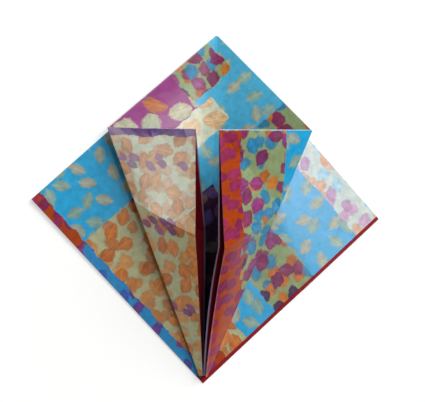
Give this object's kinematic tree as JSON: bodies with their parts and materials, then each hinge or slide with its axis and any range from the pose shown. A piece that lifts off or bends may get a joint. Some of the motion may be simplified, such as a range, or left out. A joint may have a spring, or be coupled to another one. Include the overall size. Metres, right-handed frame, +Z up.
{
  "type": "origami box",
  "caption": "Square sheet of printed paper folded into a flat box base, with kite-folded front flaps standing open along the middle.",
  "frame": {"origin": "on the table under the middle of the flat rear square", "axes": "+Z up from the table, +Y along the middle line towards the closed corner, +X towards the steeper front page"},
  "size_m": [0.1061, 0.1058, 0.0234],
  "materials": {
    "printed_paper": "satin print on one side, plain dark red on the other"
  },
  "bodies": {
    "root": {"folded_sheet": "printed_paper"}
  },
  "joints": []
}
